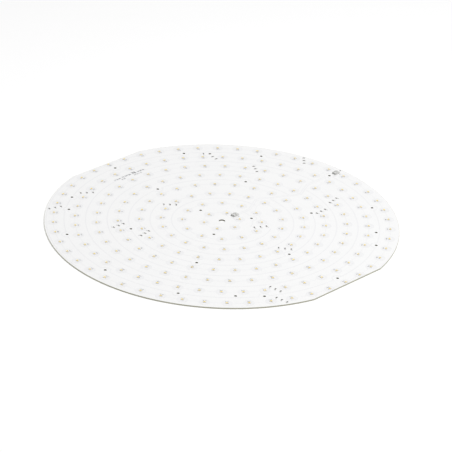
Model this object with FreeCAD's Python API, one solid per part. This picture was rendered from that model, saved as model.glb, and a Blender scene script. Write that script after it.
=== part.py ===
import FreeCAD, Part

import math
import os

# A round LED module board, lying flat with its LED side up.
# Sizes are in millimetres and angles in degrees. The origin is the centre of the board's back face.
# +Z points out of the LED side, +X points at one of the two flats on the rim, and the feed line,
# which carries both wire terminals, runs from the centre along +Y.

# Laminate board
board_diameter = 450.0
flat_depth = 8.0
board_thickness = 1.6

# Rings of LEDs, counted from the centre outwards
led_counts = (6, 12, 19, 25, 31, 37, 44, 50)
first_ring_radius = 23.3
last_ring_to_rim = 11.5
feed_line_azimuth = 90.0
# In these rings an LED sits on the feed line. In the others the feed line passes between two LEDs.
rings_with_led_on_feed_line = (3, 5)

# Screw holes. The middle ones lie midway between two rings of LEDs.
screw_hole_diameter = 3.5
outer_screw_count = 12
outer_screw_to_rim = 25.0
middle_screw_count = 6
ring_count_inside_middle_screws = 4
inner_screw_count = 3
inner_screw_beyond_first_ring = 15.5
inner_screw_azimuth = 60.0
corner_screw_inside_outer = 4.25
corner_screw_azimuth = 40.0

# Plain holes
centre_hole_diameter = 8.0
tooling_hole_diameter = 2.0
tooling_hole_to_rim = 2.8
tooling_hole_azimuth = 90.3

# LED package: a moulded housing with one corner cut off to mark its cathode, its long side along
# the ring, and the window of phosphor on its top face
led_length = 3.5
led_width = 2.8
led_height = 0.7
led_corner_cut = 0.45
window_length = 2.6
window_width = 2.0
phosphor_thickness = 0.08

# Chip resistor: its end caps stand a little above the body between them
resistor_length = 3.2
resistor_width = 1.6
resistor_height = 0.6
cap_length = 0.5
cap_step = 0.05
# Three resistors stand side by side on a line that leans away from the radius.
resistor_count = 3
resistor_spacing = 8.0
group_lean = 31.0
# In one string the outer resistor would cover a corner screw hole. It sits beside that hole
# instead, turned along the radius.
string_with_moved_resistor = 6
moved_resistor_radius = 195.6
moved_resistor_azimuth = 142.5

# Wire terminal: a moulded housing with one entry for each pole
pole_count = 2
pole_pitch = 3.0
terminal_side_wall = 0.5
terminal_length = 8.3
terminal_height = 2.8
terminal_edge = 0.3
inner_terminal_radius = 22.9
outer_terminal_inside_last_ring = 2.1
# The outer terminal sits a little to the side of the feed line.
outer_terminal_aside = 0.9

# Chamber of one pole, open towards the board
chamber_width = 2.2
chamber_roof = 0.45
front_wall = 1.6
rear_wall = 0.8
tail_slot_height = 0.4

# Wire entry and the release slot in the roof
entry_diameter = 1.8
entry_mouth_diameter = 2.3
entry_mouth_depth = 0.5
entry_height = 1.25
release_width = 1.3
release_length = 1.8
release_ahead_of_middle = 0.2
groove_width = 0.4
groove_depth = 0.25

# Contact clip: a bent metal strip that is soldered down, with its tail out at the back
clip_thickness = 0.2
clip_side_clearance = 0.2
clip_end_clearance = 0.2
tail_length = 1.0
tongue_roof_clearance = 0.15
tongue_tip_height = 0.8
tongue_crest_length = 1.4
tongue_tip_before_middle = 1.0

# Each string is a run of LEDs in series: its stretches are (ring, first LED, last LED).
# LEDs in a ring are counted from 0, from the feed line on, anticlockwise from above.
string_stretches = (
    ((8, 2, 17),),
    ((8, 18, 33),),
    ((8, 34, 49),),
    ((8, 0, 1), (7, 30, 43)),
    ((7, 14, 29),),
    ((7, 0, 13), (6, 35, 36)),
    ((6, 3, 18),),
    ((6, 19, 34),),
    ((6, 0, 2), (5, 0, 12)),
    ((5, 13, 28),),
    ((5, 29, 30), (4, 11, 24)),
    ((4, 0, 10), (3, 0, 4)),
    ((3, 5, 18), (2, 10, 11)),
    ((2, 0, 9), (1, 0, 5)),
)

# Each string's resistors sit on a ring, in the gap before this LED: (ring, LED).
resistor_gaps = (
    (8, 2),
    (8, 18),
    (8, 34),
    (7, 30),
    (7, 14),
    (7, 6),
    (6, 3),
    (6, 35),
    (5, 13),
    (5, 29),
    (4, 19),
    (4, 11),
    (3, 6),
    (2, 10),
)

# Sizes that follow from the ones above
full_turn = 360.0
board_radius = board_diameter / 2
ring_pitch = (board_radius - last_ring_to_rim - first_ring_radius) / (len(led_counts) - 1)
terminal_width = (pole_count - 1) * pole_pitch + chamber_width + 2 * terminal_side_wall
clip_width = chamber_width - 2 * clip_side_clearance


def at_azimuth(radius, azimuth, height=0.0):
    """Point at a radius from the board's axis, in a direction, at a height."""
    angle = math.radians(azimuth)
    return FreeCAD.Vector(radius * math.cos(angle), radius * math.sin(angle), height)


def placed(shape, point, azimuth):
    """Copy of a shape with its own +X turned to an azimuth and its origin at a point."""
    copy = shape.copy()
    copy.Placement = FreeCAD.Placement(point, FreeCAD.Rotation(FreeCAD.Vector(0, 0, 1), azimuth))
    return copy


def centred_box(x_size, y_size, z_size, height=0.0):
    """Box centred on the Z axis, with its lowest face at a height."""
    corner = FreeCAD.Vector(-x_size / 2, -y_size / 2, height)
    return Part.makeBox(x_size, y_size, z_size, corner)


def ring_radius(ring):
    """Radius of a ring of LEDs."""
    return first_ring_radius + (ring - 1) * ring_pitch


def led_step(ring):
    """Angle from one LED of a ring to the next."""
    return full_turn / led_counts[ring - 1]


def led_azimuth(ring, number):
    """Direction of an LED, counted anticlockwise from the feed line."""
    first = 0.0 if ring in rings_with_led_on_feed_line else 0.5
    return feed_line_azimuth + (number + first) * led_step(ring)


def circle_of_points(radius, count, first_azimuth):
    """Evenly spaced points on a circle about the board's axis."""
    return [at_azimuth(radius, first_azimuth + i * full_turn / count) for i in range(count)]


def screw_points():
    """Centres of all screw holes: three circles and the four corners of a rectangle."""
    outer_radius = board_radius - outer_screw_to_rim
    middle_radius = ring_radius(ring_count_inside_middle_screws) + ring_pitch / 2
    inner_radius = first_ring_radius + inner_screw_beyond_first_ring
    corner = at_azimuth(outer_radius - corner_screw_inside_outer, corner_screw_azimuth)
    points = circle_of_points(outer_radius, outer_screw_count, 0.0)
    points += circle_of_points(middle_radius, middle_screw_count, 0.0)
    points += circle_of_points(inner_radius, inner_screw_count, inner_screw_azimuth)
    for x_side in (-1, 1):
        for y_side in (-1, 1):
            points.append(FreeCAD.Vector(x_side * corner.x, y_side * corner.y, 0))
    return points


def board_outline():
    """Rim of the board: two round ends joined by the two parallel flats."""
    flat = board_radius - flat_depth
    corner = math.sqrt(board_radius ** 2 - flat ** 2)
    right_low = FreeCAD.Vector(flat, -corner, 0)
    right_high = FreeCAD.Vector(flat, corner, 0)
    left_high = FreeCAD.Vector(-flat, corner, 0)
    left_low = FreeCAD.Vector(-flat, -corner, 0)
    far_end = Part.Arc(right_high, FreeCAD.Vector(0, board_radius, 0), left_high)
    near_end = Part.Arc(left_low, FreeCAD.Vector(0, -board_radius, 0), right_low)
    edges = [
        Part.LineSegment(right_low, right_high).toShape(),
        far_end.toShape(),
        Part.LineSegment(left_high, left_low).toShape(),
        near_end.toShape(),
    ]
    return Part.Wire(edges)


def hole_through_board(point, diameter):
    """Cylinder that cuts one hole through the board."""
    return Part.makeCylinder(diameter / 2, board_thickness, FreeCAD.Vector(point.x, point.y, 0))


def circuit_board():
    """Laminate with its screw holes, centre hole and tooling hole."""
    plate = Part.Face(board_outline()).extrude(FreeCAD.Vector(0, 0, board_thickness))
    tooling_point = at_azimuth(board_radius - tooling_hole_to_rim, tooling_hole_azimuth)
    holes = [hole_through_board(point, screw_hole_diameter) for point in screw_points()]
    holes.append(hole_through_board(FreeCAD.Vector(0, 0, 0), centre_hole_diameter))
    holes.append(hole_through_board(tooling_point, tooling_hole_diameter))
    return plate.cut(Part.makeCompound(holes))


def led_housing():
    """Moulded LED housing with its marked corner, standing on the origin."""
    half_width = led_width / 2
    half_length = led_length / 2
    points = [
        FreeCAD.Vector(-half_width, -half_length, 0),
        FreeCAD.Vector(half_width, -half_length, 0),
        FreeCAD.Vector(half_width, half_length, 0),
        FreeCAD.Vector(led_corner_cut - half_width, half_length, 0),
        FreeCAD.Vector(-half_width, half_length - led_corner_cut, 0),
        FreeCAD.Vector(-half_width, -half_length, 0),
    ]
    body_height = led_height - phosphor_thickness
    return Part.Face(Part.makePolygon(points)).extrude(FreeCAD.Vector(0, 0, body_height))


def led_phosphor():
    """Window of phosphor that lies on the housing's top face."""
    seat = led_height - phosphor_thickness
    return centred_box(window_width, window_length, phosphor_thickness, seat)


def chip_resistor():
    """Chip resistor along X: a flat body between two end caps that stand a step higher."""
    half = resistor_length / 2
    inner = half - cap_length
    top = resistor_height
    body_top = resistor_height - cap_step
    profile = [
        (-half, 0),
        (half, 0),
        (half, top),
        (inner, top),
        (inner, body_top),
        (-inner, body_top),
        (-inner, top),
        (-half, top),
        (-half, 0),
    ]
    points = [FreeCAD.Vector(x, -resistor_width / 2, z) for x, z in profile]
    return Part.Face(Part.makePolygon(points)).extrude(FreeCAD.Vector(0, resistor_width, 0))


def leds_of_string(shape, stretches):
    """Copies of an LED piece at every LED place of one string."""
    copies = []
    for ring, first, last in stretches:
        for number in range(first, last + 1):
            azimuth = led_azimuth(ring, number)
            point = at_azimuth(ring_radius(ring), azimuth, board_thickness)
            copies.append(placed(shape, point, azimuth))
    return copies


def resistors_of_string(shape, ring, number):
    """Copies of the resistor, side by side on a leaning line across the gap before an LED."""
    gap_azimuth = led_azimuth(ring, number) - led_step(ring) / 2
    middle = at_azimuth(ring_radius(ring), gap_azimuth, board_thickness)
    line_azimuth = gap_azimuth + group_lean
    first_place = -(resistor_count - 1) / 2
    copies = []
    for i in range(resistor_count):
        point = middle + at_azimuth((first_place + i) * resistor_spacing, line_azimuth)
        copies.append(placed(shape, point, line_azimuth + full_turn / 4))
    return copies


def with_outer_resistor_moved(shape, copies):
    """The same resistors, with the outer one beside the corner screw hole."""
    point = at_azimuth(moved_resistor_radius, moved_resistor_azimuth, board_thickness)
    return copies[:-1] + [placed(shape, point, moved_resistor_azimuth)]


def pole_places():
    """Places of the poles across a terminal."""
    first = -(pole_count - 1) / 2
    return [(first + i) * pole_pitch for i in range(pole_count)]


def along_terminal(radius, start, length, x_place, height):
    """Cylinder along Y in a terminal's own frame, for a wire entry."""
    point = FreeCAD.Vector(x_place, start, height)
    return Part.makeCylinder(radius, length, point, FreeCAD.Vector(0, 1, 0))


def pole_cavity(x_place):
    """Hollow of one pole: wire entry with its mouth, chamber, tail slot and release slot."""
    front = -terminal_length / 2
    chamber_front = front + front_wall
    chamber_length = terminal_length - front_wall - rear_wall
    chamber_height = terminal_height - chamber_roof
    entry = along_terminal(entry_diameter / 2, front, front_wall, x_place, entry_height)
    mouth = Part.makeCone(
        entry_mouth_diameter / 2,
        entry_diameter / 2,
        entry_mouth_depth,
        FreeCAD.Vector(x_place, front, entry_height),
        FreeCAD.Vector(0, 1, 0),
    )
    left = x_place - chamber_width / 2
    chamber_corner = FreeCAD.Vector(left, chamber_front, 0)
    chamber = Part.makeBox(chamber_width, chamber_length, chamber_height, chamber_corner)
    slot_corner = FreeCAD.Vector(left, chamber_front, 0)
    slot_length = terminal_length - front_wall
    slot = Part.makeBox(chamber_width, slot_length, tail_slot_height, slot_corner)
    release_corner = FreeCAD.Vector(
        x_place - release_width / 2,
        -release_ahead_of_middle - release_length / 2,
        chamber_height,
    )
    release = Part.makeBox(release_width, release_length, chamber_roof, release_corner)
    return entry.multiFuse([mouth, chamber, slot, release])


def terminal_housing():
    """Moulded terminal housing, its wire entries facing -Y, standing on the origin."""
    block = centred_box(terminal_width, terminal_length, terminal_height)
    above = terminal_height / 2
    outer_edges = [edge for edge in block.Edges if edge.CenterOfMass.z >= above]
    shell = block.makeChamfer(terminal_edge, outer_edges)
    groove = centred_box(
        groove_width, terminal_length, groove_depth, terminal_height - groove_depth
    )
    return shell.cut(Part.makeCompound([groove] + [pole_cavity(x) for x in pole_places()]))


def bent_strip(centre_line, width):
    """Strip of sheet metal of one width that follows a line of (y, z) points, mitred at its bends."""
    half = clip_thickness / 2
    points = [FreeCAD.Vector(0, y, z) for y, z in centre_line]
    across = FreeCAD.Vector(1, 0, 0)
    normals = [across.cross((b - a).normalize()) for a, b in zip(points, points[1:])]
    before = [normals[0]] + normals
    after = normals + [normals[-1]]
    upper = []
    lower = []
    for point, first, second in zip(points, before, after):
        mitre = (first + second) * (half / (1 + first.dot(second)))
        upper.append(point + mitre)
        lower.append(point - mitre)
    outline = upper + lower[::-1] + upper[:1]
    shift = FreeCAD.Vector(-width / 2, 0, 0)
    face = Part.Face(Part.makePolygon([point + shift for point in outline]))
    return face.extrude(FreeCAD.Vector(width, 0, 0))


def contact_clip():
    """Contact clip of one pole: base and tail on the board, upright and spring tongue above."""
    middle_plane = clip_thickness / 2
    front = -terminal_length / 2 + front_wall + clip_end_clearance
    upright = terminal_length / 2 - rear_wall - clip_end_clearance - middle_plane
    tail_end = terminal_length / 2 + tail_length
    crest = terminal_height - chamber_roof - tongue_roof_clearance - middle_plane
    base = bent_strip([(front, middle_plane), (tail_end, middle_plane)], clip_width)
    tongue = bent_strip(
        [
            (upright, middle_plane),
            (upright, crest),
            (upright - tongue_crest_length, crest),
            (-tongue_tip_before_middle, tongue_tip_height),
        ],
        clip_width,
    )
    return base.fuse(tongue).removeSplitter()


def export(name, solids):
    """Write one node's solids to its own file."""
    shape = solids[0] if len(solids) == 1 else Part.makeCompound(solids)
    shape.exportStep(os.path.join("parts", name + ".step"))


def export_strings():
    """Write the LEDs and resistors, string by string."""
    housing = led_housing()
    phosphor = led_phosphor()
    resistor = chip_resistor()
    for i, (stretches, gap) in enumerate(zip(string_stretches, resistor_gaps)):
        label = "string_%02d" % (i + 1)
        export("led_housings_" + label, leds_of_string(housing, stretches))
        export("led_phosphors_" + label, leds_of_string(phosphor, stretches))
        resistors = resistors_of_string(resistor, *gap)
        if i + 1 == string_with_moved_resistor:
            resistors = with_outer_resistor_moved(resistor, resistors)
        export("resistors_" + label, resistors)


def export_terminals():
    """Write both wire terminals, each with a clip for every pole."""
    housing = terminal_housing()
    clip = contact_clip()
    last_ring = ring_radius(len(led_counts))
    outer_radius = last_ring - outer_terminal_inside_last_ring
    places = {
        "inner": (inner_terminal_radius, 0.0),
        "outer": (outer_radius, outer_terminal_aside),
    }
    # A terminal's own +Y looks outwards along the feed line.
    turn = feed_line_azimuth - full_turn / 4
    sides = ("left", "right")
    for place, (radius, aside) in places.items():
        point = at_azimuth(radius, feed_line_azimuth, board_thickness) + at_azimuth(aside, turn)
        export(place + "_terminal_housing", [placed(housing, point, turn)])
        for side, x_place in zip(sides, pole_places()):
            pole_point = point + at_azimuth(x_place, turn)
            export(place + "_terminal_clip_" + side, [placed(clip, pole_point, turn)])


os.makedirs("parts", exist_ok=True)
export("circuit_board", [circuit_board()])
export_strings()
export_terminals()
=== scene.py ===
"""The look of a round white LED module board that lies flat with its LED side up.

Lengths named with _mm are millimetres, angles are degrees, and azimuths run anticlockwise from +X.
Every place on the board is read from the fixed frame: the LEDs, the chip resistors, the screw
holes and the wire terminals are found in the nodes' own meshes.
"""

from __future__ import annotations

import logging
import math
from collections.abc import Callable, Iterable
from dataclasses import dataclass
from enum import Enum

import bmesh
import bpy
from bmesh.types import BMEdge, BMFace, BMVert, BMesh
from bpy.types import Material, Mesh, Node, NodeSocket, NodeTree, Object, Scene
from mathutils import Matrix, Vector

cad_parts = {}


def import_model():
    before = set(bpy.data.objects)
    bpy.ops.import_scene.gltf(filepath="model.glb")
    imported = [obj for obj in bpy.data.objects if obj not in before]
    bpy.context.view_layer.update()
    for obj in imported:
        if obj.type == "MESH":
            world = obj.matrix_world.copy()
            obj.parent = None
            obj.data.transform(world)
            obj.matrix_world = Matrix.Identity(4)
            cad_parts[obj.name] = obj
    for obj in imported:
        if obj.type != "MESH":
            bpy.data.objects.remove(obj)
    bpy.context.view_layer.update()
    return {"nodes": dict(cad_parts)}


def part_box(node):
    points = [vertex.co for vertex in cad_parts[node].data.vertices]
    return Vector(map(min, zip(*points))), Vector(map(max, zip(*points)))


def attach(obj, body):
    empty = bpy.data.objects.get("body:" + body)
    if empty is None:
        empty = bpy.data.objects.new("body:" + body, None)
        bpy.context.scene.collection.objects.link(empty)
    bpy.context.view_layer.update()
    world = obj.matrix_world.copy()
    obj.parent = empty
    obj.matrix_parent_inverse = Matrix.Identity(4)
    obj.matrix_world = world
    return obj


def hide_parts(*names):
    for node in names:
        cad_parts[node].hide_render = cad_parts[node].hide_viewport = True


MM = 0.001
FULL_TURN = 360.0
HALF_TURN = 180.0
QUARTER_TURN = 90.0
FEED_AZIMUTH = 90.0
BODY = "root"
STRINGS = 14
SAME_POINT = 0.001 * MM
# Socket numbers of a Mix node that mixes colours, whose names repeat.
MIX_FACTOR, MIX_A, MIX_B, MIX_RESULT = 0, 6, 7, 2

log = logging.getLogger("led_board")


class RecordSlot(Enum):
    """The record's material slots."""

    BOARD = "board"
    LED_HOUSING = "led_housing"
    LED_PHOSPHOR = "led_phosphor"
    RESISTOR = "chip_resistor"
    TERMINAL = "terminal_housing"
    CLIP = "contact_clip"


class Side(Enum):
    """The side of a hole on which a track runs round it, seen from the board's centre."""

    INNER = "inner"
    OUTER = "outer"
    STRAIGHT = "straight"


def polar(radius: float, azimuth: float, height: float = 0.0) -> Vector:
    """Point at a radius, an azimuth and a height."""
    angle = math.radians(azimuth)
    return Vector((radius * math.cos(angle), radius * math.sin(angle), height))


def azimuth_of(point: Vector) -> float:
    """Azimuth of a point, from 0 up to a full turn."""
    return math.degrees(math.atan2(point.y, point.x)) % FULL_TURN


def turned_to(point: Vector, azimuth: float) -> Matrix:
    """Place at a point with the local X axis turned to an azimuth."""
    return Matrix.Translation(point) @ Matrix.Rotation(math.radians(azimuth), 4, "Z")


def scaled(x: float, y: float, z: float) -> Matrix:
    """Scaling along the three axes."""
    return Matrix.Diagonal((x, y, z, 1.0))


def linear(colour: str) -> tuple[float, float, float, float]:
    """Turn an sRGB hex colour to the linear RGBA that the shaders take.

    Args:
        colour: Six hex digits.

    Returns:
        Linear red, green, blue and an alpha of 1.
    """

    def channel(text: str) -> float:
        """Turn one pair of hex digits to linear light."""
        value = int(text, 16) / 255
        return value / 12.92 if value <= 0.04045 else ((value + 0.055) / 1.055) ** 2.4

    return channel(colour[0:2]), channel(colour[2:4]), channel(colour[4:6]), 1.0


def add_node(tree: NodeTree, kind: str, inputs: dict | None = None, **settings: object) -> Node:
    """Add a node, give it its settings, and set or link its inputs.

    Args:
        tree: The node tree to add to.
        kind: The node's Blender type name.
        inputs: Input names or numbers, each with a value or with the output to link.
        **settings: The node's own settings.

    Returns:
        The new node.
    """
    node = tree.nodes.new(kind)
    for name, value in settings.items():
        setattr(node, name, value)
    for name, value in (inputs or {}).items():
        if isinstance(value, NodeSocket):
            tree.links.new(value, node.inputs[name])
        else:
            node.inputs[name].default_value = value
    return node


def per_size(size_mm: float) -> float:
    """Texture scale at which a pattern's unit is a real size."""
    return 1 / (size_mm * MM)


def band_scale(pitch_mm: float) -> float:
    """Scale that lays a wave texture's bands a pitch apart, where 1 lays 20 in a full turn."""
    return 2 * math.pi / (20 * pitch_mm * MM)


@dataclass(frozen=True)
class Finish:
    """A finish whose colour drifts a little to a shade of it, under a fine grain.

    A finish with more detail overrides colour_of() or grain_of().
    """

    name: str
    colour: str
    shade: str
    roughness: float
    patch_mm: float = 20.0
    patch_layers: float = 3.0
    ior: float = 1.5
    metallic: float = 0.0
    grain_mm: float = 0.5
    grain_depth_mm: float = 0.004

    def material(self) -> Material:
        """Make the finish's material, if it isn't there yet.

        Returns:
            The material.
        """
        found = bpy.data.materials.get(self.name)
        if found:
            return found
        made = bpy.data.materials.new(self.name)
        made.use_nodes = True
        tree = made.node_tree
        tree.nodes.clear()
        place = add_node(tree, "ShaderNodeTexCoord")
        inputs = {
            "Base Color": self.colour_of(tree, place),
            "Normal": self.grain_of(tree, place),
            "Roughness": self.roughness,
            "IOR": self.ior,
            "Metallic": self.metallic,
        }
        shader = add_node(tree, "ShaderNodeBsdfPrincipled", inputs)
        add_node(tree, "ShaderNodeOutputMaterial", {"Surface": shader.outputs["BSDF"]})
        return made

    def colour_of(self, tree: NodeTree, place: Node) -> NodeSocket:
        """Mottled colour.

        Args:
            tree: The material's node tree.
            place: The texture coordinate node.

        Returns:
            The colour output.
        """
        vector, scale = place.outputs["Object"], per_size(self.patch_mm)
        inputs = {"Vector": vector, "Scale": scale, "Detail": self.patch_layers}
        patches = add_node(tree, "ShaderNodeTexNoise", inputs)
        return layered(tree, linear(self.colour), [(patches.outputs["Fac"], linear(self.shade))])

    def grain_of(self, tree: NodeTree, place: Node) -> NodeSocket:
        """Normal of the grained surface.

        Args:
            tree: The material's node tree.
            place: The texture coordinate node.

        Returns:
            The normal output.
        """
        vector, scale = place.outputs["Object"], per_size(self.grain_mm)
        grain = add_node(tree, "ShaderNodeTexNoise", {"Vector": vector, "Scale": scale})
        depth = self.grain_depth_mm * MM
        bump = add_node(tree, "ShaderNodeBump", {"Height": grain.outputs["Fac"], "Distance": depth})
        return bump.outputs["Normal"]


def layered(
    tree: NodeTree,
    colour: NodeSocket | tuple[float, ...],
    layers: Iterable[tuple[NodeSocket, NodeSocket | tuple[float, ...]]],
) -> NodeSocket:
    """Colour of a surface that other colours cover, one after the other.

    Args:
        tree: The material's node tree.
        colour: The lowest colour.
        layers: For each layer, the share that it covers and its colour.

    Returns:
        The colour output.
    """
    for share, over in layers:
        inputs = {MIX_FACTOR: share, MIX_A: colour, MIX_B: over}
        colour = add_node(tree, "ShaderNodeMix", inputs, data_type="RGBA").outputs[MIX_RESULT]
    return colour


@dataclass(frozen=True)
class MaskedLaminate(Finish):
    """Glass-fibre laminate with white mask on its top face only, drawn back a little at the rim.

    The mask is smooth and slightly glossy. The bare back shows the weave of the glass cloth, and
    the routed edge its plies, both in the olive of the resin. The walls of the holes are painted a
    darker olive, as painted shade for the shade that falls inside them.
    """

    resin: str = "B2B09C"
    fibre: str = "C7C6B4"
    # Painted shade: the hole walls get this colour, darker than the resin, for the shade inside the
    # holes.
    drilled: str = "706D5A"
    radius_mm: float = 225.0
    flat_mm: float = 217.0
    bare_rim_mm: float = 0.25
    # A face counts as level or upright where its normal's height passes this.
    half_turned: float = 0.5
    # The real cloth has about half a millimetre between threads, which is too fine to show.
    weave_mm: float = 1.6
    ply_mm: float = 0.4

    def shares(self, tree: NodeTree, place: Node) -> dict[str, NodeSocket]:
        """Work out where the cloth, the holes and the mask show.

        Args:
            tree: The material's node tree.
            place: The texture coordinate node.

        Returns:
            The outputs by name, of which cloth, painted_hole_shade and on_top are the shares.
        """
        point = place.outputs["Object"]
        where = add_node(tree, "ShaderNodeSeparateXYZ", {"Vector": point})
        normal = add_node(tree, "ShaderNodeSeparateXYZ", {"Vector": place.outputs["Normal"]})
        known = {"x": where.outputs["X"], "y": where.outputs["Y"], "up": normal.outputs["Z"]}
        pitches = {"X": self.weave_mm, "Y": self.weave_mm, "Z": self.ply_mm}
        for axis, pitch_mm in pitches.items():
            inputs = {"Vector": point, "Scale": band_scale(pitch_mm)}
            wave = add_node(tree, "ShaderNodeTexWave", inputs, bands_direction=axis)
            known["bands_" + axis] = wave.outputs["Fac"]
        steps = (
            ("weave", "MULTIPLY", "bands_X", "bands_Y"),
            ("cloth", "MAXIMUM", "weave", "bands_Z"),
            ("x_squared", "MULTIPLY", "x", "x"),
            ("y_squared", "MULTIPLY", "y", "y"),
            ("squares", "ADD", "x_squared", "y_squared"),
            ("radius", "SQRT", "squares", 0.0),
            ("in_round", "LESS_THAN", "radius", (self.radius_mm - self.bare_rim_mm) * MM),
            ("from_middle", "ABSOLUTE", "x", 0.0),
            ("in_flats", "LESS_THAN", "from_middle", (self.flat_mm - self.bare_rim_mm) * MM),
            ("inside", "MULTIPLY", "in_round", "in_flats"),
            ("level", "ABSOLUTE", "up", 0.0),
            ("sideways", "LESS_THAN", "level", self.half_turned),
            # Painted shade: upright faces inside the rim are the hole walls, which take the dark
            # colour.
            ("painted_hole_shade", "MULTIPLY", "sideways", "inside"),
            ("upward", "GREATER_THAN", "up", self.half_turned),
            ("on_top", "MULTIPLY", "upward", "inside"),
        )
        for name, operation, first, second in steps:
            inputs = {0: known[first], 1: known.get(second, second)}
            result = add_node(tree, "ShaderNodeMath", inputs, operation=operation)
            known[name] = result.outputs["Value"]
        return known

    def colour_of(self, tree: NodeTree, place: Node) -> NodeSocket:
        """White mask on top, painted shade on the hole walls, and the resin with its fibres
        elsewhere.

        Args:
            tree: The material's node tree.
            place: The texture coordinate node.

        Returns:
            The colour output.
        """
        mask = super().colour_of(tree, place)
        shares = self.shares(tree, place)
        layers = (
            (shares["cloth"], linear(self.fibre)),
            (shares["painted_hole_shade"], linear(self.drilled)),
            (shares["on_top"], mask),
        )
        return layered(tree, linear(self.resin), layers)


@dataclass(frozen=True)
class Camera:
    """The photograph's camera, solved from the rings of LEDs."""

    target_x_mm: float = 14.16
    target_y_mm: float = -6.95
    target_z_mm: float = 2.25
    distance_mm: float = 3074.4
    heading: float = 134.0
    elevation: float = 27.342
    roll: float = 2.5
    lens_mm: float = 193.99
    sensor_mm: float = 36.0
    clip_near: float = 0.1
    clip_far: float = 20.0

    def make(self) -> None:
        """Make the camera and set it as the scene's own."""
        data = bpy.data.cameras.new("camera")
        data.lens = self.lens_mm
        data.sensor_width = self.sensor_mm
        data.clip_start = self.clip_near
        data.clip_end = self.clip_far
        camera = bpy.data.objects.new("camera", data)
        bpy.context.scene.collection.objects.link(camera)
        heading = math.radians(self.heading)
        elevation = math.radians(self.elevation)
        forward = Vector(
            (
                math.cos(heading) * math.cos(elevation),
                math.sin(heading) * math.cos(elevation),
                -math.sin(elevation),
            )
        )
        right = forward.cross(Vector((0, 0, 1))).normalized()
        up = right.cross(forward)
        roll = math.radians(self.roll)
        image_right = right * math.cos(roll) + up * math.sin(roll)
        image_up = up * math.cos(roll) - right * math.sin(roll)
        target = Vector((self.target_x_mm, self.target_y_mm, self.target_z_mm)) * MM
        camera.matrix_world = (
            Matrix.Translation(target - forward * self.distance_mm * MM)
            @ Matrix((image_right, image_up, -forward)).transposed().to_4x4()
        )
        bpy.context.scene.camera = camera


@dataclass(frozen=True)
class Studio:
    """White surroundings, two soft lamps and a pale floor that keeps the object's shadow."""

    world_strength: float = 0.36
    floor_size: float = 8.0
    floor_drop_mm: float = 0.15
    floor_colour: str = "E6E6E6"
    floor_glow: float = 0.27
    key_power: float = 39.3
    fill_power: float = 7.2
    key_place: tuple[float, float, float] = (0.75, 0.35, 2.2)
    fill_place: tuple[float, float, float] = (-1.6, -0.8, 1.8)
    lamp_size: float = 1.6

    def make(self) -> None:
        """Make the world, the lamps and the floor."""
        scene = bpy.context.scene
        scene.view_settings.view_transform = "Standard"
        self.surroundings(scene)
        self.lamp("key", self.key_power, Vector(self.key_place))
        self.lamp("fill", self.fill_power, Vector(self.fill_place))
        self.floor(scene)

    def seen_share(self, tree: NodeTree) -> NodeSocket:
        """1 for what the camera sees straight, mirrored or through glass, and 0 for light.

        Args:
            tree: The node tree of the world or the floor.

        Returns:
            The share's output.
        """
        path = add_node(tree, "ShaderNodeLightPath")
        seen = path.outputs["Is Camera Ray"]
        for ray in ("Is Glossy Ray", "Is Transmission Ray"):
            inputs = {0: seen, 1: path.outputs[ray]}
            seen = add_node(tree, "ShaderNodeMath", inputs, operation="MAXIMUM").outputs["Value"]
        return seen

    def surroundings(self, scene: Scene) -> None:
        """White world that lights the object at its own strength and is seen as plain white.

        Args:
            scene: The scene that gets the world.
        """
        world = bpy.data.worlds.new("surroundings")
        scene.world = world
        world.use_nodes = True
        tree = world.node_tree
        tree.nodes.clear()
        inputs = {"Value": self.seen_share(tree), "To Min": self.world_strength, "To Max": 1.0}
        strength = add_node(tree, "ShaderNodeMapRange", inputs)
        inputs = {"Color": linear("FFFFFF"), "Strength": strength.outputs["Result"]}
        sky = add_node(tree, "ShaderNodeBackground", inputs)
        add_node(tree, "ShaderNodeOutputWorld", {"Surface": sky.outputs["Background"]})

    def lamp(self, name: str, power: float, place: Vector) -> None:
        """Make one large soft lamp that points at the board.

        Args:
            name: The lamp's name.
            power: Power in watts.
            place: Where it stands.
        """
        data = bpy.data.lights.new(name, "AREA")
        data.energy = power
        data.size = self.lamp_size
        lamp = bpy.data.objects.new(name, data)
        lamp.location = place
        lamp.rotation_euler = (-place).to_track_quat("-Z", "Y").to_euler()
        # Its mirror image would wash out the mask where the board is seen from above.
        lamp.visible_glossy = False
        bpy.context.scene.collection.objects.link(lamp)

    def floor(self, scene: Scene) -> None:
        """Pale floor just under the board, lifted to white where the camera sees it.

        Args:
            scene: The scene that gets the floor.
        """
        bm = bmesh.new()
        drop = Matrix.Translation((0, 0, -self.floor_drop_mm * MM))
        bmesh.ops.create_grid(bm, x_segments=1, y_segments=1, size=self.floor_size / 2, matrix=drop)
        mesh = bpy.data.meshes.new("floor")
        bm.to_mesh(mesh)
        bm.free()
        floor = bpy.data.objects.new("floor", mesh)
        scene.collection.objects.link(floor)
        # A paper sweep: matt all over, so that the shadow lies on it softly.
        material = bpy.data.materials.new("matt_paper")
        material.use_nodes = True
        tree = material.node_tree
        tree.nodes.clear()
        inputs = {0: self.seen_share(tree), 1: self.floor_glow}
        glow = add_node(tree, "ShaderNodeMath", inputs, operation="MULTIPLY")
        light = add_node(tree, "ShaderNodeEmission", {"Strength": glow.outputs["Value"]})
        paper = add_node(tree, "ShaderNodeBsdfDiffuse", {"Color": linear(self.floor_colour)})
        inputs = {0: paper.outputs["BSDF"], 1: light.outputs["Emission"]}
        both = add_node(tree, "ShaderNodeAddShader", inputs)
        add_node(tree, "ShaderNodeOutputMaterial", {"Surface": both.outputs["Shader"]})
        mesh.materials.append(material)


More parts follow.
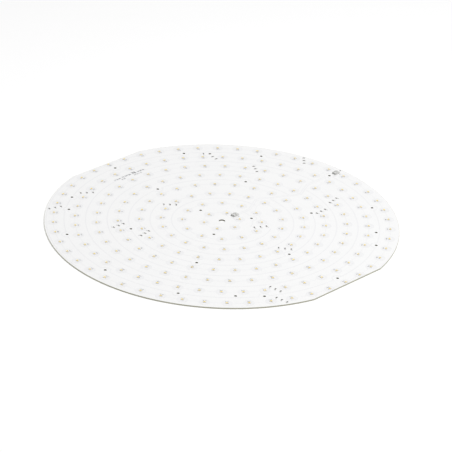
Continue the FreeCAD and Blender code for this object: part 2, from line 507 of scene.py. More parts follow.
@dataclass(frozen=True)
class Place:
    """Where a small part sits on the board, and the azimuth that its own X axis points to."""

    point: Vector
    azimuth: float

    @property
    def radius(self) -> float:
        """Distance from the board's axis."""
        return self.point.xy.length

    def matrix(self) -> Matrix:
        """The place as a matrix."""
        return turned_to(self.point, self.azimuth)


def string_name(index: int) -> str:
    """Name of a string of LEDs, counted from 0 here and from 1 in the frame."""
    return f"string_{index + 1:02d}"


def merged(node: str) -> BMesh:
    """Copy a node's mesh and join its loose triangles.

    Args:
        node: The node's name.

    Returns:
        The joined copy.
    """
    bm = bmesh.new()
    bm.from_mesh(bpy.data.objects[node].data)
    bmesh.ops.remove_doubles(bm, verts=bm.verts, dist=SAME_POINT)
    return bm


def solid_points(node: str) -> list[list[Vector]]:
    """Corners of each separate solid of a node.

    Args:
        node: The node's name.

    Returns:
        One list of points for each solid.
    """
    bm = merged(node)
    waiting = dict.fromkeys(bm.verts)
    solids = []
    while waiting:
        island = [waiting.popitem()[0]]
        for vert in island:
            for edge in vert.link_edges:
                other = edge.other_vert(vert)
                if other in waiting:
                    del waiting[other]
                    island.append(other)
        solids.append([vert.co.copy() for vert in island])
    bm.free()
    return solids


def middle_of(points: list[Vector]) -> Vector:
    """Mean of some points."""
    return sum(points, Vector()) / len(points)


def long_azimuth(points: list[Vector]) -> float:
    """Azimuth along which some points reach farthest from their middle.

    Args:
        points: The points.

    Returns:
        The azimuth, which is that of either end.
    """
    middle = middle_of(points)
    along = sum((p.x - middle.x) ** 2 - (p.y - middle.y) ** 2 for p in points)
    skew = sum(2 * (p.x - middle.x) * (p.y - middle.y) for p in points)
    return math.degrees(math.atan2(skew, along) / 2) % FULL_TURN


class BoardFrame:
    """What the fixed frame says about the board: its size and where everything sits on it."""

    ring_gap: float = 1.0 * MM
    flush: float = 0.01 * MM
    rim_point_gap: float = 1.5 * MM
    fewest_rim_points: int = 7

    def __init__(self) -> None:
        """Read the sizes and places from the frame's nodes."""
        _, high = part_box("circuit_board")
        self.top = high.z
        self.radius = high.y
        self.flat = high.x
        self.strings = [self.places("led_phosphors_", n, azimuth_of) for n in range(STRINGS)]
        self.resistors = [self.places("resistors_", n, None) for n in range(STRINGS)]
        self.rings = self.sorted_rings()
        self.holes = self.hole_centres()

    def places(
        self, prefix: str, index: int, heading: Callable[[Vector], float] | None
    ) -> list[Place]:
        """Read where the small parts of one string sit.

        Args:
            prefix: How the node's name starts.
            index: The string, counted from 0.
            heading: What gives a part's X axis its azimuth, if not its own long side.

        Returns:
            The places.
        """
        places = []
        for points in solid_points(prefix + string_name(index)):
            centre = middle_of(points)
            centre.z = self.top
            places.append(Place(centre, heading(centre) if heading else long_azimuth(points)))
        return places

    def sorted_rings(self) -> list[list[Place]]:
        """Sort the LEDs into rings.

        Returns:
            The rings from the centre out, each in order of azimuth.
        """
        rings: list[list[Place]] = []
        leds = [place for string in self.strings for place in string]
        for place in sorted(leds, key=lambda p: p.radius):
            if not rings or place.radius - rings[-1][0].radius > self.ring_gap:
                rings.append([])
            rings[-1].append(place)
        return [sorted(ring, key=lambda p: p.azimuth) for ring in rings]

    def hole_centres(self) -> list[Vector]:
        """Find the holes by the close rows of points round them on the top face.

        Returns:
            Their centres.
        """
        bm = merged("circuit_board")
        points = [v.co.copy() for v in bm.verts if abs(v.co.z - self.top) < self.flush]
        bm.free()
        groups: list[list[Vector]] = []
        while points:
            group = [points.pop()]
            for known in group:
                close = [p for p in points if (p - known).length < self.rim_point_gap]
                group.extend(close)
                points = [p for p in points if (p - known).length >= self.rim_point_gap]
            groups.append(group)
        return [middle_of(g) for g in groups if len(g) >= self.fewest_rim_points]

    def ring_radius(self, ring: float) -> float:
        """Radius of a ring of LEDs, or of a circle between two rings.

        Args:
            ring: The ring, counted from 1, such as 3 or 3.5.

        Returns:
            The radius.
        """
        first = self.rings[0][0].radius
        pitch = (self.rings[-1][0].radius - first) / (len(self.rings) - 1)
        return first + (ring - 1) * pitch


def only(items: Iterable, kind: type) -> list:
    """Return the items of one kind."""
    return [item for item in items if isinstance(item, kind)]


def everything(bm: BMesh) -> list:
    """Return all corners, edges and faces of a mesh."""
    return [*bm.verts, *bm.edges, *bm.faces]


def finished(bm: BMesh, name: str, finishes: Iterable[Finish]) -> Object:
    """Turn a bmesh to a piece that rides on the board.

    Args:
        bm: The finished shape, which is freed.
        name: The piece's name.
        finishes: Its finishes, in the order of its faces' material numbers.

    Returns:
        The new object.
    """
    mesh = bpy.data.meshes.new(name)
    bm.to_mesh(mesh)
    bm.free()
    for finish in finishes:
        mesh.materials.append(finish.material())
    piece = bpy.data.objects.new(name, mesh)
    bpy.context.scene.collection.objects.link(piece)
    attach(piece, BODY)
    log.info("%s: %d faces", name, len(mesh.polygons))
    return piece


def as_template(bm: BMesh) -> Mesh:
    """Turn a bmesh to a mesh that is stamped many times.

    Args:
        bm: The finished shape, which is freed.

    Returns:
        The mesh, its faces pointing outwards.
    """
    bmesh.ops.recalc_face_normals(bm, faces=bm.faces)
    mesh = bpy.data.meshes.new("template")
    bm.to_mesh(mesh)
    bm.free()
    return mesh


def stamped(template: Mesh, places: Iterable[Matrix]) -> BMesh:
    """Join copies of a template, one at each place.

    Args:
        template: The mesh to copy.
        places: Where the copies go.

    Returns:
        The joined shape.
    """
    joined = bmesh.new()
    for place in places:
        copy = template.copy()
        copy.transform(place)
        joined.from_mesh(copy)
        bpy.data.meshes.remove(copy)
    return joined


def block(
    bm: BMesh,
    size_mm: tuple[float, float, float],
    x_mm: float = 0.0,
    y_mm: float = 0.0,
    z_mm: float = 0.0,
) -> list[BMVert]:
    """Add a box.

    Args:
        bm: The mesh to add to.
        size_mm: Its three sizes.
        x_mm: X of the middle of its lowest face.
        y_mm: Y of the same point.
        z_mm: Z of the same point.

    Returns:
        Its eight corners.
    """
    size = Vector(size_mm) * MM
    lift = Matrix.Translation((x_mm * MM, y_mm * MM, z_mm * MM + size.z / 2))
    return bmesh.ops.create_cube(bm, size=1.0, matrix=lift @ scaled(*size))["verts"]


def top_face(bm: BMesh) -> BMFace:
    """Return the highest face that looks up."""
    return max(bm.faces, key=lambda f: (round(f.calc_center_median().z, 7), f.normal.z))


@dataclass
class LedPackages:
    """The LEDs: each a moulded housing with a cup, a phosphor filling, and metal under it."""

    frame: BoardFrame
    length_mm: float = 3.5
    width_mm: float = 2.8
    height_mm: float = 0.7
    corner_cut_mm: float = 0.45
    window_length_mm: float = 2.45
    window_width_mm: float = 1.85
    window_corner_mm: float = 0.5
    cup_depth_mm: float = 0.3
    cup_taper: float = 0.82
    fill_below_rim_mm: float = 0.04
    dome_mm: float = 0.03
    foot_width_mm: float = 1.9
    # Partly painted shade: the feet reach out wider than real ones, as dark grey for the shade at
    # the LEDs' ends.
    foot_reach_mm: float = 0.4
    foot_height_mm: float = 0.16
    foot_slope: float = 0.8
    # Partly painted shade: the metal base stands a little out of the housing's sides as a dark
    # band, for the shade at their foot.
    base_length_mm: float = 2.3
    base_height_mm: float = 0.2
    base_step_mm: float = 0.05
    # Moulded plastic full of white pigment: warm, even and softly satin.
    housing_finish: Finish = Finish(
        "white_moulded_pct_plastic", "F2F0EA", "E9E6DD", roughness=0.45, patch_mm=1.5, grain_mm=0.2
    )
    # Poured silicone full of phosphor: deep yellow, smooth and a little wet.
    phosphor_finish: Finish = Finish(
        "yellow_phosphor_silicone", "FBDC54", "F5D046", roughness=0.3, patch_mm=0.6, ior=1.42
    )
    # Solder that was melted once: grey and dull, with soft glints. It is made darker than bare tin,
    # as painted shade for the shaded sides of the LEDs.
    foot_finish: Finish = Finish(
        "reflowed_tin_solder_and_painted_shade", "9C9B98", "878683", roughness=0.45, patch_mm=0.8, metallic=1.0
    )

    def window(self, bm: BMesh, height_mm: float) -> list[BMEdge]:
        """Add the window's outline, a rectangle with clipped round corners.

        Args:
            bm: The mesh to add to.
            height_mm: Height of the outline.

        Returns:
            The outline's edges.
        """
        size = scaled(self.window_width_mm * MM, self.window_length_mm * MM, 1.0)
        lift = Matrix.Translation((0, 0, height_mm * MM))
        made = bmesh.ops.create_grid(bm, x_segments=1, y_segments=1, size=0.5, matrix=lift @ size)
        rounded = bmesh.ops.bevel(
            bm,
            geom=made["verts"],
            offset=self.window_corner_mm * MM,
            offset_type="OFFSET",
            segments=2,
            profile=0.5,
            affect="VERTICES",
            material=-1,
        )
        plate = next(f for v in rounded["verts"] for f in v.link_faces)
        edges = list(plate.edges)
        bmesh.ops.delete(bm, geom=[plate], context="FACES_ONLY")
        return edges

    def housing(self) -> Mesh:
        """Make the housing: a block with one corner cut and a cup in its top.

        Returns:
            The housing as a template.
        """
        bm = bmesh.new()
        block(bm, (self.width_mm, self.length_mm, self.height_mm))
        marked = [e for e in bm.edges if all(v.co.x < 0 < v.co.y for v in e.verts)]
        bmesh.ops.bevel(
            bm,
            geom=marked,
            offset=self.corner_cut_mm * MM,
            segments=1,
            profile=0.5,
            affect="EDGES",
            material=-1,
        )
        top = top_face(bm)
        outer = list(top.edges)
        bmesh.ops.delete(bm, geom=[top], context="FACES_ONLY")
        rim = self.window(bm, self.height_mm)
        bmesh.ops.triangle_fill(bm, use_beauty=True, edges=outer + rim, normal=(0, 0, 1))
        self.sink(bm, rim, self.cup_taper, self.cup_depth_mm)
        return as_template(bm)

    def sink(self, bm: BMesh, rim: list[BMEdge], taper: float, depth_mm: float) -> None:
        """Add slanted walls down from a rim, and a floor.

        Args:
            bm: The mesh to add to.
            rim: The rim's edges.
            taper: Size of the floor, as a share of the rim's.
            depth_mm: Depth of the floor below the rim.
        """
        walls = bmesh.ops.extrude_edge_only(bm, edges=rim)["geom"]
        low = only(walls, BMVert)
        bmesh.ops.scale(bm, vec=(taper, taper, 1.0), verts=low)
        bmesh.ops.translate(bm, vec=(0, 0, -depth_mm * MM), verts=low)
        bmesh.ops.contextual_create(bm, geom=only(walls, BMEdge))

    def filling(self) -> Mesh:
        """Make the phosphor: a plug that fits the cup, with a slightly domed top.

        Returns:
            The phosphor as a template.
        """
        bm = bmesh.new()
        rim_height = self.height_mm - self.fill_below_rim_mm
        rim = self.window(bm, rim_height)
        inset = 1 - self.fill_below_rim_mm / self.cup_depth_mm * (1 - self.cup_taper)
        bmesh.ops.scale(bm, vec=(inset, inset, 1.0), verts=list(bm.verts))
        depth_mm = self.cup_depth_mm - self.fill_below_rim_mm
        self.sink(bm, rim, self.cup_taper / inset, depth_mm)
        lid = bmesh.ops.contextual_create(bm, geom=rim)["faces"]
        dome = bmesh.ops.poke(bm, faces=lid)["verts"]
        bmesh.ops.translate(bm, vec=(0, 0, self.dome_mm * MM), verts=dome)
        return as_template(bm)

    def feet(self) -> Mesh:
        """Make the metal base and the two feet at its ends, each with its ramp of solder.

        Base and feet are partly real metal and partly painted shade: dark metal that stands out
        round the housing for the shade on its sides.

        Returns:
            The metal as a template.
        """
        bm = bmesh.new()
        base_width_mm = self.width_mm + 2 * self.base_step_mm
        block(bm, (base_width_mm, self.base_length_mm, self.base_height_mm))
        foot = (self.foot_width_mm, 2 * self.foot_reach_mm, self.foot_height_mm)
        drop = Vector((0, 0, -self.foot_height_mm * self.foot_slope * MM))
        for end in (-1, 1):
            verts = block(bm, foot, y_mm=end * self.length_mm / 2)
            ramp = [v for v in verts if v.co.z > 0 and abs(v.co.y) > self.length_mm / 2 * MM]
            bmesh.ops.translate(bm, vec=drop, verts=ramp)
        return as_template(bm)

    def build(self) -> None:
        """Stamp the LEDs of every string in place of the plain ones."""
        housing, filling, feet = self.housing(), self.filling(), self.feet()
        for index, leds in enumerate(self.frame.strings):
            string = string_name(index)
            places = [led.matrix() for led in leds]
            body = finished(
                stamped(housing, places),
                "led_bodies_" + string,
                [self.housing_finish],
            )
            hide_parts("led_housings_" + string)
            window = finished(
                stamped(filling, places),
                "led_windows_" + string,
                [self.phosphor_finish],
            )
            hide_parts("led_phosphors_" + string)
            finished(
                stamped(feet, places), "led_feet_" + string, [self.foot_finish]
            )


@dataclass
class ChipResistors:
    """The chip resistors: a ceramic body with a dark glazed top, and two solder-wetted ends."""

    frame: BoardFrame
    length_mm: float = 3.2
    width_mm: float = 1.6
    height_mm: float = 0.6
    cap_mm: float = 0.5
    cap_step_mm: float = 0.05
    glaze_mm: float = 0.05
    fillet_mm: float = 0.35
    fillet_slope: float = 0.45
    glaze_number: int = 1
    tin_number: int = 2
    # Sintered and left raw: chalky, off-white and matt.
    ceramic: Finish = Finish(
        "sintered_alumina_ceramic", "DEDDD8", "D2D1CB", roughness=0.6, patch_mm=0.8
    )
    # Printed and fired glass: nearly black, with a small clear highlight.
    glaze: Finish = Finish("black_glass_glaze", "202123", "2C2D2F", roughness=0.28, patch_mm=0.7)
    # Plated and soldered over: light grey and satin, without sharp sparks.
    tin: Finish = Finish(
        "tin_plated_end_cap", "D8D7D3", "C9C8C4", roughness=0.5, patch_mm=0.7, metallic=1.0
    )

    def template(self) -> Mesh:
        """Make one resistor along X, its faces numbered ceramic, glaze and tin.

        Returns:
            The resistor as a template.
        """
        bm = bmesh.new()
        width_mm, height_mm = self.width_mm, self.height_mm
        body_mm = self.length_mm - 2 * self.cap_mm
        glaze_low_mm = height_mm - self.cap_step_mm - self.glaze_mm
        block(bm, (body_mm, width_mm, glaze_low_mm))
        top = block(bm, (body_mm, width_mm, self.glaze_mm), z_mm=glaze_low_mm)
        self.paint(top, self.glaze_number)
        drop = Vector((0, 0, -height_mm * self.fillet_slope * MM))
        for end in (-1, 1):
            cap_x_mm = end * (self.length_mm - self.cap_mm) / 2
            cap = block(bm, (self.cap_mm, width_mm, height_mm), x_mm=cap_x_mm)
            foot_x_mm = end * (self.length_mm + self.fillet_mm) / 2
            foot = block(bm, (self.fillet_mm, width_mm, height_mm / 2), x_mm=foot_x_mm)
            ramp = [v for v in foot if v.co.z > 0 and abs(v.co.x) > abs(foot_x_mm) * MM]
            bmesh.ops.translate(bm, vec=drop, verts=ramp)
            self.paint(cap + foot, self.tin_number)
        return as_template(bm)

    def paint(self, verts: list[BMVert], number: int) -> None:
        """Give the faces round some corners a material number.

        Args:
            verts: The corners.
            number: The number.
        """
        for face in {f for v in verts for f in v.link_faces}:
            face.material_index = number

    def build(self) -> None:
        """Stamp the resistors of every string in place of the plain ones."""
        template = self.template()
        for index, places in enumerate(self.frame.resistors):
            string = string_name(index)
            piece = finished(
                stamped(template, [place.matrix() for place in places]),
                "chip_resistors_" + string,
                [self.ceramic, self.glaze, self.tin],
            )
            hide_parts("resistors_" + string)


def arc_strip(
    bm: BMesh, centre: Vector, radius: float, start: float, sweep: float, section: Vector
) -> None:
    """Add a flat strip that follows an arc.

    Args:
        bm: The mesh to add to.
        centre: The arc's centre, at the strip's underside.
        radius: Radius of the strip's middle.
        start: Azimuth of its start.
        sweep: Angle that it covers, anticlockwise if positive.
        section: Its width in x and its height in z.
    """
    step_length, small_arc_steps = 6.0 * MM, 8
    steps = max(2, round(abs(math.radians(sweep)) * radius / step_length))
    if radius < 2 * step_length:
        steps = small_arc_steps
    lift = Matrix.Translation((radius, 0, section.z / 2))
    upright = Matrix.Rotation(math.pi / 2, 4, "X")
    cross = turned_to(centre, start) @ lift @ upright @ scaled(section.x, section.z, 1.0)
    made = bmesh.ops.create_grid(bm, x_segments=1, y_segments=1, size=0.5, matrix=cross)
    verts = made["verts"]
    end = verts[0].link_faces[0]
    geometry = [*end.verts, *end.edges, end]
    lid = bmesh.ops.duplicate(bm, geom=geometry)
    bmesh.ops.spin(
        bm,
        geom=geometry,
        cent=centre,
        axis=(0, 0, 1),
        angle=math.radians(sweep),
        steps=steps,
        use_merge=False,
        use_duplicate=False,
    )
    closing = only(lid["geom"], BMVert) + verts
    bmesh.ops.remove_doubles(bm, verts=closing, dist=SAME_POINT)


def straight_strip(bm: BMesh, start: Vector, end: Vector, section: Vector) -> None:
    """Add a flat strip between two points.

    Args:
        bm: The mesh to add to.
        start: One end of its middle line, at its underside.
        end: The other end.
        section: Its width in x and its height in z.
    """
    run = end - start
    place = turned_to((start + end) / 2, azimuth_of(run))
    lift = Matrix.Translation((0, 0, section.z / 2))
    size = scaled(run.length + section.x, section.x, section.z)
    bmesh.ops.create_cube(bm, size=1.0, matrix=place @ lift @ size)


@dataclass
class CopperLayout:
    """The copper that shows through the white mask as a low relief of a slightly darker white."""

    frame: BoardFrame
    relief_mm: float = 0.05
    disc_mm: float = 14.2
    disc_gap_mm: float = 0.9
    disc_segments: int = 28
    link_width_mm: float = 0.8
    link_sink_mm: float = 0.01
    link_overlap_mm: float = 0.4
    clear_of_bus_mm: float = 2.5
    clear_of_resistor_mm: float = 3.0
    feed_width_mm: float = 1.5
    bus_width_mm: float = 1.2
    bus_spacing_mm: float = 3.0
    bus_hole_radius_mm: float = 200.0
    parting_angle: float = 14.0
    parting_sweep: float = 136.0
    parting_lift_mm: float = 0.012
    # Small lifts keep tracks that cross or meet from lying in one plane.
    first_lift_mm: float = 0.004
    lift_step_mm: float = 0.006
    # A feed circle turns aside for a hole that is nearer than this share of the detour.
    detour_mm: float = 6.8
    detour_share: float = 0.8
    near_azimuth: float = 3.0
    flat_margin_mm: float = 1.0
    rim_radius_mm: float = 222.4
    rim_width_mm: float = 1.3
    rim_start: float = 195.0
    rim_end: float = 262.0
    # The mask where it lies over copper: a shade darker than the rest, with the same soft gloss.
    finish: Finish = Finish(
        "white_mask_over_copper", "F0F0F1", "EDEDEE", roughness=0.36, patch_mm=18.0, grain_mm=1.2
    )

    def half_disc(self) -> Mesh:
        """Make one half of an LED's round heat pad, on the local +Y side.

        Returns:
            The half disc as a template.
        """
        bm = bmesh.new()
        bmesh.ops.create_circle(
            bm, cap_ends=True, segments=self.disc_segments, radius=self.disc_mm / 2 * MM
        )
        bmesh.ops.bisect_plane(
            bm,
            geom=everything(bm),
            plane_co=(0, self.disc_gap_mm / 2 * MM, 0),
            plane_no=(0, 1, 0),
            clear_inner=True,
        )
        raised = bmesh.ops.extrude_face_region(bm, geom=list(bm.faces))["geom"]
        top = only(raised, BMVert)
        bmesh.ops.translate(bm, vec=(0, 0, self.relief_mm * MM), verts=top)
        return as_template(bm)

    def heat_pads(self) -> None:
        """Lay two half discs under every LED."""
        template = self.half_disc()
        half_turn = Matrix.Rotation(math.pi, 4, "Z")
        for number, ring in enumerate(self.frame.rings):
            places = [led.matrix() for led in ring]
            places += [led.matrix() @ half_turn for led in ring]
            pads = stamped(template, places)
            self.trim_at_flats(pads)
            finished(pads, f"heat_pads_ring_{number + 1}", [self.finish])

    def trim_at_flats(self, bm: BMesh) -> None:
        """Cut off what comes too near to the board's two flats.

        Args:
            bm: The mesh to cut.
        """
        limit = self.frame.flat - self.flat_margin_mm * MM
        for side in (-1, 1):
            cut = bmesh.ops.bisect_plane(
                bm,
                geom=everything(bm),
                plane_co=(side * limit, 0, 0),
                plane_no=(side, 0, 0),
                clear_outer=True,
            )
            open_edges = only(cut["geom_cut"], BMEdge)
            bmesh.ops.holes_fill(bm, edges=open_edges)

    def section(self, width_mm: float, lift_mm: float = 0.0) -> Vector:
        """Width and height of a track's cross-section."""
        return Vector((width_mm, 0, self.relief_mm + lift_mm)) * MM

    def laid(self, bm: BMesh, name: str) -> None:
        """Turn the finished tracks to a piece."""
        bmesh.ops.recalc_face_normals(bm, faces=bm.faces)
        finished(bm, name, [self.finish])

    def ground(self) -> Vector:
        """The board's axis at its top face."""
        return Vector((0, 0, self.frame.top))

    def ring_links(self) -> None:
        """Join neighbouring heat pads of a ring, except over resistors and the feed line."""
        bm = bmesh.new()
        section = self.section(self.link_width_mm, -self.link_sink_mm)
        blocked = [p for group in self.frame.resistors for p in group]
        for ring in self.frame.rings:
            radius = ring[0].radius
            reach = math.degrees((self.disc_mm / 2 - self.link_overlap_mm) * MM / radius)
            for led, following in zip(ring, ring[1:] + ring[:1]):
                start = led.azimuth + reach
                sweep = (following.azimuth - led.azimuth) % FULL_TURN - 2 * reach
                middle = polar(radius, start + sweep / 2, self.frame.top)
                from_bus = abs((start + sweep / 2) % FULL_TURN - FEED_AZIMUTH) * radius
                crossing = from_bus < math.degrees(self.clear_of_bus_mm * MM)
                limit = self.clear_of_resistor_mm * MM
                close = any((middle - p.point).length < limit for p in blocked)
                if sweep > 0 and not crossing and not close:
                    arc_strip(bm, self.ground(), radius, start, sweep, section)
        self.laid(bm, "ring_link_tracks")

    def feed_circle(self, bm: BMesh, ring: float, start: float, end: float) -> None:
        """Add one feed circle, anticlockwise from start to end, with a detour at each hole.

        Args:
            bm: The mesh to add to.
            ring: Its place between two rings, such as 3.5.
            start: Azimuth where it starts.
            end: Azimuth where it ends.
        """
        radius = self.frame.ring_radius(ring)
        section = self.section(self.feed_width_mm)
        raised = self.section(self.feed_width_mm, self.lift_step_mm)
        detour = self.detour_mm * MM
        length = (end - start) % FULL_TURN
        met = []
        for hole in self.frame.holes:
            offset = hole.xy.length - radius
            along = (azimuth_of(hole) - start) % FULL_TURN
            turns = self.side_of(ring, start + along) is not Side.STRAIGHT
            if turns and abs(offset) < detour * self.detour_share and along < length:
                met.append((along, hole, offset))
        reached = start
        for along, hole, offset in sorted(met, key=lambda item: item[0]):
            half = math.degrees(math.sqrt(detour**2 - offset**2) / radius)
            azimuth = start + along
            if azimuth - half > reached:
                arc_strip(bm, self.ground(), radius, reached, azimuth - half - reached, section)
            self.round_hole(bm, hole, azimuth, offset, self.side_of(ring, azimuth), raised)
            reached = azimuth + half
        if start + length > reached:
            arc_strip(bm, self.ground(), radius, reached, start + length - reached, section)

    def side_of(self, ring: float, azimuth: float) -> Side:
        """Side on which a feed circle passes a hole, as the photograph shows it.

        Args:
            ring: The circle's place between two rings, such as 3.5.
            azimuth: The hole's azimuth.

        Returns:
            The side.
        """
        outward = {
            1: (60.0,),
            4: (120.0, 240.0, 300.0),
            7: (60.0, 120.0, 140.0, 220.0, 240.0, 300.0),
        }
        straight = {7: (40.0, 320.0)}

        def listed(places: dict[int, tuple[float, ...]]) -> bool:
            """Whether the hole is one of the listed ones."""
            turns = (azimuth - place + HALF_TURN for place in places.get(int(ring), ()))
            return any(abs(turn % FULL_TURN - HALF_TURN) < self.near_azimuth for turn in turns)

        if listed(straight):
            return Side.STRAIGHT
        return Side.OUTER if listed(outward) else Side.INNER

    def round_hole(
        self, bm: BMesh, hole: Vector, azimuth: float, offset: float, side: Side, section: Vector
    ) -> None:
        """Add the arc that takes a feed circle round a hole.

        Args:
            bm: The mesh to add to.
            hole: The hole's centre.
            azimuth: Its azimuth.
            offset: How far it lies outside the feed circle.
            side: The side that the arc takes.
            section: The strip's cross-section.
        """
        detour = self.detour_mm * MM
        open_angle = math.degrees(math.acos(max(-1.0, min(1.0, offset / detour))))
        centre = Vector((hole.x, hole.y, self.frame.top))
        towards, half = azimuth + HALF_TURN, open_angle
        if side is Side.OUTER:
            towards, half = azimuth, HALF_TURN - open_angle
        arc_strip(bm, centre, detour, towards - half, 2 * half, section)

    def feed_circles(self) -> None:
        """Lay the feed circles between the rings, each from one azimuth to another."""
        bm = bmesh.new()
        circles = (
            (1.57, 24.0, 88.0),
            (2.5, 93.0, 30.0),
            (3.5, 196.0, 91.5),
            (4.5, 87.5, 57.0),
            (5.5, 118.0, 88.0),
            (6.5, 90.5, 72.0),
            (7.5, 103.0, 88.0),
        )
        for ring, start, end in circles:
            self.feed_circle(bm, ring, start, end)
        self.laid(bm, "feed_circle_tracks")

    def route(
        self, bm: BMesh, points: Iterable[tuple[float, float]], shift_mm: float, width_mm: float
    ) -> None:
        """Add a track along a route.

        Args:
            bm: The mesh to add to.
            points: The route in millimetres.
            shift_mm: How far the whole route is moved along X.
            width_mm: The track's width.
        """
        ground = [Vector(((x + shift_mm) * MM, y * MM, self.frame.top)) for x, y in points]
        for number, (start, end) in enumerate(zip(ground, ground[1:])):
            lift_mm = self.first_lift_mm + self.lift_step_mm * (number % 2)
            straight_strip(bm, start, end, self.section(width_mm, lift_mm))

    def feed_bus(self) -> None:
        """Lay the pair of feed tracks from the inner wire terminal to the outer one.

        They part at the screw hole before the outer terminal and pass it on both sides.
        """
        bm = bmesh.new()
        route = (
            (0.0, 28.0),
            (-0.2, 50.0),
            (-7.0, 63.0),
            (-13.6, 75.0),
            (-11.5, 85.0),
            (-3.0, 98.0),
            (3.0, 112.0),
            (10.5, 124.0),
            (12.2, 132.0),
            (-0.8, 159.0),
            (0.0, 193.6),
        )
        about = polar(self.bus_hole_radius_mm * MM, FEED_AZIMUTH)
        hole = min(self.frame.holes, key=lambda h: (h - about).xy.length)
        centre = Vector((hole.x, hole.y, self.frame.top))
        section = self.section(self.bus_width_mm, self.parting_lift_mm)
        for side in (-1, 1):
            self.route(bm, route, side * self.bus_spacing_mm / 2, self.bus_width_mm)
            start = FEED_AZIMUTH + HALF_TURN + side * self.parting_angle
            sweep = side * self.parting_sweep
            arc_strip(bm, centre, self.detour_mm * MM, start, sweep, section)
        self.laid(bm, "feed_bus_tracks")

    def hops(self) -> None:
        """Lay the short tracks that take a string from one ring to the next."""
        bm = bmesh.new()
        routes = (
            ((-1.5, 71.2), (0.0, 62.5), (6.6, 53.6)),
            ((-5.4, 153.8), (-1.8, 147.5), (1.2, 139.3)),
            ((10.1, 181.0), (10.3, 165.6)),
            ((-11.3, 193.4), (-11.4, 206.8)),
            ((25.4, -164.0), (26.4, -170.8)),
        )
        for route in routes:
            self.route(bm, route, 0.0, self.link_width_mm)
        self.laid(bm, "ring_hop_tracks")

    def rim_line(self) -> None:
        """Lay the thin track that follows part of the rim."""
        bm = bmesh.new()
        section = self.section(self.rim_width_mm)
        sweep = self.rim_end - self.rim_start
        arc_strip(bm, self.ground(), self.rim_radius_mm * MM, self.rim_start, sweep, section)
        self.laid(bm, "rim_track")

    def build(self) -> None:
        """Lay all the copper that shows."""
        self.heat_pads()
        self.ring_links()
        self.feed_circles()
        self.feed_bus()
        self.hops()
        self.rim_line()


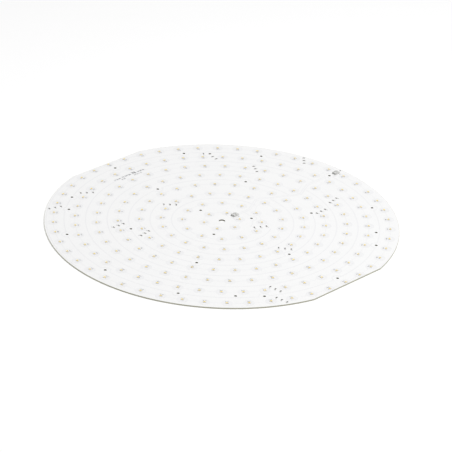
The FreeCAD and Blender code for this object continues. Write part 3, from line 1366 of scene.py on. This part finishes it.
@dataclass
class ScreenPrint:
    """Grey printed numbers: a running one for every LED and plain ones elsewhere."""

    frame: BoardFrame
    digit_mm: float = 2.1
    resistor_digit_mm: float = 1.25
    boldness: float = 0.022
    small_boldness: float = -0.004
    inward_mm: float = 3.75
    lift_mm: float = 0.075
    beside_resistor_mm: float = 2.8
    beside_resistor_lean: float = 36.0
    beside_turned_mm: float = 3.9
    nearly_radial: float = 0.2
    beside_terminal_mm: float = 2.2
    line_x_mm: float = -173.0
    line_digit_mm: float = 2.5
    first_digit_mm: float = 2.2
    middle_digit_mm: float = 3.2
    large_digit_mm: float = 5.0
    small_digit_mm: float = 2.0
    # The font's digits are about this share of its size.
    digit_share: float = 0.73
    # Ink squeezed through a screen: flat, matt and mid grey.
    finish: Finish = Finish("grey_printing_ink", "626467", "6E7073", roughness=0.7, patch_mm=1.0)

    def text_mesh(self, text: str, height_mm: float, boldness: float) -> Mesh:
        """Make a flat mesh of a text, centred on the origin.

        Args:
            text: The text.
            height_mm: Height of its digits.
            boldness: How much its strokes are widened, as a share of that height.

        Returns:
            The mesh.
        """
        curve = bpy.data.curves.new("print", "FONT")
        curve.body = text
        curve.align_x = "CENTER"
        curve.align_y = "CENTER"
        curve.size = height_mm * MM / self.digit_share
        curve.offset = boldness * height_mm * MM
        curve.resolution_u = 2
        carrier = bpy.data.objects.new("print", curve)
        mesh = bpy.data.meshes.new_from_object(carrier)
        bpy.data.objects.remove(carrier)
        bpy.data.curves.remove(curve)
        return mesh

    def lay(self, name: str, texts: list[tuple[str, float, Matrix]], boldness: float) -> None:
        """Print several texts as one piece.

        Args:
            name: The piece's name.
            texts: Each text, its digits' height in millimetres, and its place.
            boldness: How much their strokes are widened, as a share of that height.
        """
        bm = bmesh.new()
        for text, height_mm, place in texts:
            mesh = self.text_mesh(text, height_mm, boldness)
            mesh.transform(place)
            bm.from_mesh(mesh)
            bpy.data.meshes.remove(mesh)
        bmesh.ops.dissolve_degenerate(bm, dist=SAME_POINT, edges=bm.edges)
        finished(bm, name, [self.finish])

    def at(self, point: Vector, azimuth: float) -> Matrix:
        """Place of a text that reads along an azimuth."""
        return turned_to(Vector((point.x, point.y, self.frame.top + self.lift_mm * MM)), azimuth)

    def led_numbers(self) -> None:
        """Print a running number beside every LED, ring by ring."""
        number = 1
        for index, ring in enumerate(self.frame.rings):
            texts = []
            for led in ring:
                point = polar(led.radius - self.inward_mm * MM, led.azimuth)
                place = self.at(point, led.azimuth - QUARTER_TURN)
                texts.append((str(number), self.digit_mm, place))
                number += 1
            self.lay(f"led_numbers_ring_{index + 1}", texts, self.small_boldness)

    def resistor_numbers(self) -> None:
        """Print a running number beside every resistor."""
        texts = []
        number = 1
        for group in self.frame.resistors:
            for place in group:
                outward = azimuth_of(place.point)
                lean = outward - self.beside_resistor_lean
                aside = polar(self.beside_resistor_mm * MM, lean)
                turned = abs(math.sin(math.radians(place.azimuth - outward)))
                if turned < self.nearly_radial:
                    aside = polar(self.beside_turned_mm * MM, outward + QUARTER_TURN)
                where = self.at(place.point + aside, outward - QUARTER_TURN)
                texts.append((str(number), self.resistor_digit_mm, where))
                number += 1
        self.lay("resistor_numbers", texts, self.small_boldness)

    def plain_lines(self) -> None:
        """Print two lines of plain numbers beside a flat, the middle of the first one large."""
        parts = (
            ("01 02 03", self.first_digit_mm, 0.0, -20.5),
            ("12 34 56", self.middle_digit_mm, -0.3, -5.0),
            ("78", self.large_digit_mm, -0.5, 8.5),
            ("04 05 06", self.line_digit_mm, 0.0, 20.5),
            ("07 08", self.small_digit_mm, 4.6, -14.0),
            ("09 10 11 12", self.small_digit_mm, 4.6, 11.5),
        )
        texts = []
        for text, digit_mm, aside_mm, along_mm in parts:
            point = Vector((self.line_x_mm + aside_mm, along_mm, 0)) * MM
            texts.append((text, digit_mm, self.at(point, FEED_AZIMUTH)))
        self.lay("number_lines", texts, self.boldness)

    def terminal_numbers(self) -> None:
        """Print the plain pole numbers beside each wire terminal."""
        texts = []
        for place in ("inner", "outer"):
            low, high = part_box(place + "_terminal_housing")
            aside = self.beside_terminal_mm * MM
            for number, x in ((1, low.x - aside), (2, high.x + aside)):
                point = Vector((x, high.y - aside, 0))
                texts.append((str(number), self.small_digit_mm, self.at(point, 0.0)))
        self.lay("terminal_numbers", texts, self.boldness)

    def build(self) -> None:
        """Print everything."""
        self.led_numbers()
        self.resistor_numbers()
        self.plain_lines()
        self.terminal_numbers()


@dataclass
class BareBoard:
    """The laminate with its mask."""

    frame: BoardFrame

    def build(self, nodes: dict[str, Object]) -> None:
        """Dress the board.

        Args:
            nodes: The frame's nodes by name.
        """
        finish = MaskedLaminate(
            "glass_fibre_laminate_white_mask",
            "F6F6F6",
            "F3F3F3",
            roughness=0.34,
            patch_mm=30.0,
            grain_mm=1.2,
            grain_depth_mm=0.003,
            radius_mm=self.frame.radius / MM,
            flat_mm=self.frame.flat / MM,
        )
        dress(nodes, ["circuit_board"], finish)


@dataclass
class WireTerminals:
    """The two wire terminals with their contact clips."""

    # Moulded nylon: a cooler white than the LEDs' housings, faintly grained by the tool.
    housing_finish: Finish = Finish(
        "white_moulded_nylon",
        "DADAD8",
        "D2D2CF",
        roughness=0.42,
        patch_mm=3.0,
        grain_mm=0.3,
        grain_depth_mm=0.006,
    )
    # Strip stamped and then tinned: smooth and pale, with soft reflections.
    clip_finish: Finish = Finish(
        "tinned_phosphor_bronze", "C6C3BB", "AFACA3", roughness=0.3, patch_mm=2.0, metallic=1.0
    )

    def build(self, nodes: dict[str, Object]) -> None:
        """Dress the housings and the clips.

        Args:
            nodes: The frame's nodes by name.
        """
        housings = [name for name in nodes if name.endswith("terminal_housing")]
        clips = [name for name in nodes if "terminal_clip" in name]
        dress(nodes, housings, self.housing_finish)
        dress(nodes, clips, self.clip_finish)


def dress(nodes: dict[str, Object], names: Iterable[str], finish: Finish) -> None:
    """Give nodes of the frame a finish.

    Args:
        nodes: The frame's nodes by name.
        names: The nodes to dress.
        finish: Their finish.
    """
    for name in names:
        node = nodes[name]
        if not node.material_slots:
            node.data.materials.append(None)
        for holder in node.material_slots:
            holder.link = "OBJECT"
            holder.material = finish.material()
        log.info("%s: dressed", name)


def main() -> None:
    """Build and dress the board, piece by piece."""
    logging.basicConfig(level=logging.INFO, format="%(message)s")
    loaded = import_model()
    Camera().make()
    Studio().make()
    frame = BoardFrame()
    log.info("rings: %s", [len(ring) for ring in frame.rings])
    log.info("holes: %d", len(frame.holes))
    BareBoard(frame).build(loaded["nodes"])
    CopperLayout(frame).build()
    ScreenPrint(frame).build()
    LedPackages(frame).build()
    ChipResistors(frame).build()
    WireTerminals().build(loaded["nodes"])


if __name__ == "__main__":
    main()
